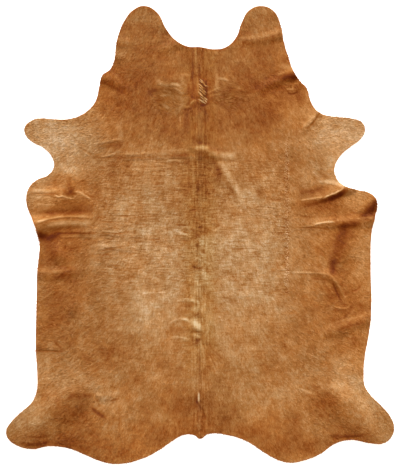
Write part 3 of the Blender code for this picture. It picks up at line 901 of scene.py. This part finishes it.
# Where the coat is paler or darker than its middle tone. Most are the coat's own colour; the
# ones with comments are painted shade in hollows and on folds' shaded sides, and painted light
# where a fold's shade reaches too far.
Tone = namedtuple("Tone", "name centre reach amount turn", defaults=(0,))
TONES = (
    Tone("left foreleg", (-0.74, 0.48), (0.42, 0.34), 0.34),
    Tone("left foreleg, top", (-0.67, 0.575), (0.16, 0.05), -0.11),
    Tone("right foreleg", (0.71, 0.46), (0.38, 0.37), 0.38),
    Tone("left armpit", (-0.65, 0.32), (0.10, 0.09), 0.20),
    Tone("left armpit, inner", (-0.70, 0.28), (0.07, 0.06), -0.12),
    Tone("left lobe", (-0.81, 0.17), (0.16, 0.20), 0.18),
    Tone("back, left", (-0.25, -0.10), (0.40, 0.80), 0.19),
    Tone("back, right", (0.25, -0.08), (0.40, 0.85), 0.22),
    Tone("spine", (0.00, 0.27), (0.12, 0.34), -0.20),
    Tone("spine, front", (0.00, 0.76), (0.08, 0.24), -0.12),
    Tone("spine, left", (-0.10, 0.11), (0.07, 0.13), -0.12),
    Tone("spine, middle", (-0.02, 0.03), (0.10, 0.12), -0.11),
    Tone("spine, waist", (0.01, -0.18), (0.07, 0.08), 0.10),
    Tone("withers, pale", (-0.03, 0.35), (0.06, 0.17), 0.11),
    Tone("neck", (0.00, 0.66), (0.75, 0.50), -0.15),
    Tone("left ear", (-0.24, 1.00), (0.22, 0.24), -0.08),
    Tone("right ear", (0.29, 0.95), (0.26, 0.26), -0.06),
    Tone("right ear, inside", (0.21, 0.98), (0.07, 0.08), -0.11),
    Tone("nape", (0.01, 0.88), (0.09, 0.07), -0.09),
    Tone("nape, right", (0.20, 0.87), (0.09, 0.07), 0.09),
    Tone("left neck", (-0.335, 0.725), (0.28, 0.20), -0.14),
    Tone("left neck, high", (-0.36, 0.80), (0.11, 0.06), -0.09),
    Tone("right neck", (0.325, 0.755), (0.30, 0.20), -0.10, 20),
    Tone("left whorl", (-0.135, 0.715), (0.14, 0.22), 0.10),
    Tone("neck, left whorl's crown", (-0.14, 0.74), (0.13, 0.12), 0.10),
    Tone("neck, right whorl's side", (0.16, 0.77), (0.11, 0.17), 0.09),
    # Painted shade on the side of the neck's right fold that is turned from the light.
    Tone("neck, right fold", (0.35, 0.73), (0.14, 0.07), -0.09),
    Tone("left shoulder", (-0.26, 0.36), (0.16, 0.16), 0.10),
    Tone("left chest", (-0.44, 0.365), (0.16, 0.20), -0.08),
    Tone("right shoulder", (0.30, 0.555), (0.18, 0.14), -0.16),
    Tone("right shoulder, spot", (0.275, 0.42), (0.07, 0.06), 0.13),
    Tone("right shoulder, behind", (0.16, 0.28), (0.13, 0.07), -0.10),
    Tone("right armpit", (0.52, 0.38), (0.20, 0.12), -0.14),
    Tone("left elbow", (-0.66, 0.135), (0.30, 0.12), -0.02),
    Tone("left flank", (-0.70, -0.25), (0.20, 0.56), -0.13),
    Tone("left flank, pale", (-0.78, -0.25), (0.09, 0.06), 0.14),
    # Painted shade at the dark end of the flank's fold.
    Tone("left flank, end", (-0.76, -0.025), (0.14, 0.10), -0.04),
    Tone("left flank, low", (-0.40, -0.58), (0.14, 0.14), -0.16),
    Tone("left thigh", (-0.76, -0.72), (0.28, 0.24), 0.14, -30),
    Tone("left thigh, high", (-0.77, -0.63), (0.09, 0.07), 0.12),
    Tone("left thigh, low", (-0.78, -0.78), (0.09, 0.08), -0.12),
    Tone("left hind foot", (-0.86, -0.90), (0.22, 0.24), 0.13, 40),
    # Painted shade in the hollow below the left hip's fold.
    Tone("left hip hollow", (-0.64, -0.91), (0.22, 0.23), -0.22),
    Tone("left stifle", (-0.48, -0.83), (0.12, 0.12), 0.16),
    Tone("left hip, low", (-0.62, -1.05), (0.20, 0.08), -0.06),
    # Painted shade on the slope from the left hip's fold down to the edge.
    Tone("left hind foot, under", (-0.80, -1.035), (0.24, 0.09), -0.24),
    Tone("rump", (0.0, -0.915), (0.42, 0.24), -0.20),
    Tone("left rump", (-0.46, -1.09), (0.34, 0.12), -0.18),
    Tone("tail, left", (-0.20, -1.01), (0.14, 0.10), -0.14),
    Tone("tail, right", (0.20, -1.00), (0.10, 0.07), -0.14),
    Tone("back, low left", (-0.25, -0.40), (0.18, 0.15), 0.12),
    Tone("back, low right", (0.14, -0.42), (0.10, 0.10), 0.14),
    Tone("back, high left", (-0.40, 0.16), (0.12, 0.12), 0.12),
    Tone("back, left edge", (-0.44, -0.03), (0.12, 0.22), 0.10),
    Tone("loin, left edge", (-0.40, -0.48), (0.08, 0.20), 0.08),
    Tone("back, left of the middle", (-0.15, -0.10), (0.12, 0.09), 0.13),
    Tone("loin, left of the middle", (-0.14, -0.29), (0.09, 0.12), 0.11),
    Tone("left buttock", (-0.22, -0.91), (0.14, 0.14), 0.12),
    # Painted shade in the hollow and the band below the right hip's fold.
    Tone("right hip hollow", (0.70, -0.93), (0.26, 0.17), -0.14, -42),
    Tone("right hip, band", (0.60, -0.83), (0.18, 0.09), -0.20, -14),
    Tone("right hip, inner", (0.47, -0.93), (0.07, 0.14), -0.14),
    Tone("right rump", (0.38, -1.02), (0.20, 0.20), -0.14),
    Tone("right rump, inner", (0.30, -0.88), (0.13, 0.12), 0.08),
    Tone("right rump, rim", (0.56, -1.05), (0.16, 0.08), -0.13),
    # Painted shade on the slope below the right hip's fold.
    Tone("right hind foot, under", (0.77, -1.01), (0.18, 0.09), -0.14),
    Tone("right thigh", (0.775, -0.75), (0.26, 0.40), 0.20),
    Tone("right thigh, edge", (0.80, -0.55), (0.08, 0.07), -0.14),
    Tone("right buttock", (0.47, -0.77), (0.20, 0.18), 0.20),
    Tone("right buttock, inner", (0.38, -0.70), (0.14, 0.12), -0.16),
    Tone("right rump, light", (0.25, -0.82), (0.14, 0.12), 0.14),
    Tone("right belly", (0.70, -0.40), (0.22, 0.26), -0.10),
    Tone("right flank, dark", (0.705, -0.06), (0.10, 0.34), -0.12, -14),
    Tone("flank, right, pale", (0.56, -0.02), (0.12, 0.09), 0.09),
    Tone("right flank, pale", (0.83, -0.115), (0.12, 0.26), 0.20),
    # Painted light where the elbow fold's shade reaches too far, then painted shade on the fold's
    # shaded side and on the curled corner turned from the light.
    Tone("right elbow, pale", (0.79, 0.185), (0.14, 0.11), 0.26),
    Tone("right elbow, dark", (0.65, 0.16), (0.12, 0.07), -0.10, 12),
    Tone("right corner", (0.87, 0.135), (0.12, 0.14), -0.16),
    Tone("right elbow", (0.600, 0.165), (0.24, 0.12), -0.10, 15),
)


def coat_pattern(finish):
    """How pale the hair is at a place, from 0 to 1, and how high it ripples, in millimetres.

    On the back the winter coat has ruffled into fine ripples across the hide. They are bumps, and
    their tone is partly painted light, paler on the ripples, with thin dark lines of painted shade
    between them. On the right side it stands up along a line of dark and pale specks.
    Along the spine it has clumped into strands.
    """
    across, along = finish.axis("X"), finish.axis("Y")
    wavy = across + finish.noise(finish.place(), 14, 2) * 0.12
    on_back = wavy.between(-0.53, -0.49) * wavy.between(0.46, 0.42)
    on_back = on_back * (0.4 + along.between(-0.45, -0.15) * 0.6)
    on_back = on_back * along.between(-0.95, -0.60) * along.between(0.46, 0.32)
    on_seam = abs(across - 0.434).between(0.018, 0.004)
    on_seam = on_seam * along.between(-0.34, -0.22) * along.between(0.54, 0.44)
    on_spine = abs(across).between(0.065, 0.020)
    mottle = finish.noise(finish.place(), 9, 4.5, 0.85)
    upright = finish.noise(finish.stretched((26, 12, 1)), 1, 1)
    ripple = finish.noise(finish.stretched((17, 140, 1)), 1, 2, 0.5, 0.7)
    lines = 1 - abs(finish.noise(finish.stretched((10, 50, 1)), 1, 2, 0.5, 0.6)).between(0, 0.045)
    specks = finish.noise(finish.stretched((150, 210, 1)), 1, 1)
    strands = finish.noise(finish.stretched((95, 7, 1)), 1, 3)
    tone = 0.5 + mottle * 0.85
    for patch in TONES:
        tone = tone + finish.patch(patch.centre, patch.reach, patch.turn) * patch.amount
    # The ripples' tone is painted light on the ripples, and the dark lines painted shade between
    # them.
    tone = tone + on_back * (upright * 0.35 + ripple * 0.50 - lines * 0.16 + specks * 0.3)
    tone = tone + on_spine * strands * 0.75 + on_seam * specks * 1.6
    height = on_back * (ripple * 1.8 - lines * 0.6) + on_spine * strands * 3.0 + mottle * 2.5
    return tone, height


def coat_colour(finish, tone):
    """The hair's colour at a tone, ruddier at some places and more faded at others."""
    colour = finish.node("ShaderNodeValToRGB", {"stops": COAT_TONES}, {0: tone.clamped()})
    on_back = finish.patch((0, -0.15), (0.62, 1.05), 0)
    age = finish.noise(finish.place(), 4, 7, 0.9) * 3.4 + on_back * 0.45 + 0.48
    for fade in FADES:
        age = age + finish.patch(fade.centre, fade.reach, 0) * fade.amount
    hue = finish.mix(age.clamped(), RUSTY, FADED)
    on_spine = abs(finish.axis("X")).between(0.12, 0.03) * finish.axis("Y").between(-0.80, -0.50)
    return finish.mix(on_spine, finish.mix(1, colour, hue, "MULTIPLY"), GOLDEN, "MULTIPLY")


def coat_of_locks():
    finish = Finish("caramel hair", Specular_IOR_Level=0.12)
    tint = finish.node("ShaderNodeAttribute", {"attribute_name": "tint"}, output="Fac")
    strand = finish.node("ShaderNodeAttribute", {"attribute_name": "strand"}, output="Vector")
    along = finish.node("ShaderNodeSeparateXYZ", None, {0: strand}, "Y")
    split = finish.node("ShaderNodeMapping", None, {"Vector": strand, "Scale": (3, 1, 1)})
    hairs = finish.noise(split, 1, 2)
    pattern, height = coat_pattern(finish)
    return finish.wear(
        # Each lock is darker at its root and paler at its tip: partly the hair's own colour and
        # partly painted shade where the locks cover one another.
        Base_Color=coat_colour(finish, pattern + tint + along * 0.08 - 0.04 + hairs * 0.2),
        Roughness=0.55 + hairs * 0.2,
        Normal=finish.bump(height + hairs * 0.15, 1 * MM),
    )


def coat_at_the_root():
    """The hair side of the leather, which shows between the locks."""
    finish = Finish("hair roots", Specular_IOR_Level=0.1)
    pattern, height = coat_pattern(finish)
    stubble = finish.noise(finish.stretched((900, 300, 300)), 1, 3)
    return finish.wear(
        Base_Color=coat_colour(finish, pattern - 0.12 + stubble * 0.1),
        Roughness=0.75 + stubble * 0.2,
        Normal=finish.bump(height + stubble * 0.5, 1 * MM),
    )


def flesh_side():
    """Tanned suede: pale, faintly blotched, with a fine nap."""
    finish = Finish("flesh side", Specular_IOR_Level=0.25)
    blotch = finish.noise(finish.place(), 4, 4, 0.6)
    nap = finish.noise(finish.place(), 420, 3, 0.7)
    share = (blotch * 1.6 + nap * 0.5 + 0.5).clamped()
    colour = finish.mix(share, (*linear(178, 158, 128), 1), (*linear(222, 206, 180), 1))
    return finish.wear(
        Base_Color=colour,
        Roughness=0.85 + nap * 0.2,
        Normal=finish.bump(nap, 0.5 * MM),
    )


# Studio

FLOOR_SIDE = 14
SCREEN_HEIGHT = 2.35  # metres that the picture's 470 pixels cover
CAMERA_HEIGHT = 9
LIGHT_FALLS = Vector((0.10, -0.90, -0.62))  # low, from beyond the neck


def make_floor():
    bpy.ops.mesh.primitive_plane_add(size=FLOOR_SIDE, location=(0, 0, -0.3 * MM))
    floor = bpy.context.object
    floor.name = "floor"
    finish = Finish("pale floor", Specular_IOR_Level=0.2, Emission_Strength=0.8)
    faint = finish.noise(finish.place(), 2, 2)
    floor.data.materials.append(finish.wear(
        Base_Color=finish.mix(faint + 0.5, (0.93, 0.93, 0.93, 1), (0.95, 0.95, 0.95, 1)),
        Roughness=0.9 + faint * 0.1,
        Emission_Color=(1, 1, 1, 1),
    ))


def make_lights():
    key = bpy.data.lights.new("window light", "SUN")
    key.energy = 3.5
    key.angle = radians(10)
    lamp = bpy.data.objects.new("window light", key)
    lamp.rotation_euler = LIGHT_FALLS.to_track_quat("-Z", "Y").to_euler()
    bpy.context.scene.collection.objects.link(lamp)
    world = bpy.data.worlds.new("studio")
    bpy.context.scene.world = world
    world.use_nodes = True
    world.node_tree.nodes["Background"].inputs["Color"].default_value = (1, 0.72, 0.46, 1)
    world.node_tree.nodes["Background"].inputs["Strength"].default_value = 0.5
    bpy.context.scene.view_settings.view_transform = "Standard"


def make_camera():
    data = bpy.data.cameras.new("camera")
    data.sensor_fit = "VERTICAL"
    data.sensor_height = 24
    data.lens = data.sensor_height * CAMERA_HEIGHT / SCREEN_HEIGHT
    camera = bpy.data.objects.new("camera", data)
    camera.location = (0, 0, CAMERA_HEIGHT)
    bpy.context.scene.collection.objects.link(camera)
    bpy.context.scene.camera = camera


make_camera()
make_lights()
make_floor()

packed_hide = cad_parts["hide"]
plan = plan_of(packed_hide)
ground = Ground(packed_hide, rim_points(plan))
skin = make_skin(plan, ground, coat_at_the_root(), flesh_side())
hair = coat_of_locks()
pieces = [coat_between(name, low, high, ground, hair) for name, low, high in STRETCHES]
pieces += [fine_hair(name, low, high, ground, hair) for name, low, high in MARKED_STRETCHES]
pieces.append(crest_tuft(ground, hair))

for piece in [skin] + pieces:
    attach(piece, "root")
    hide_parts("hide")
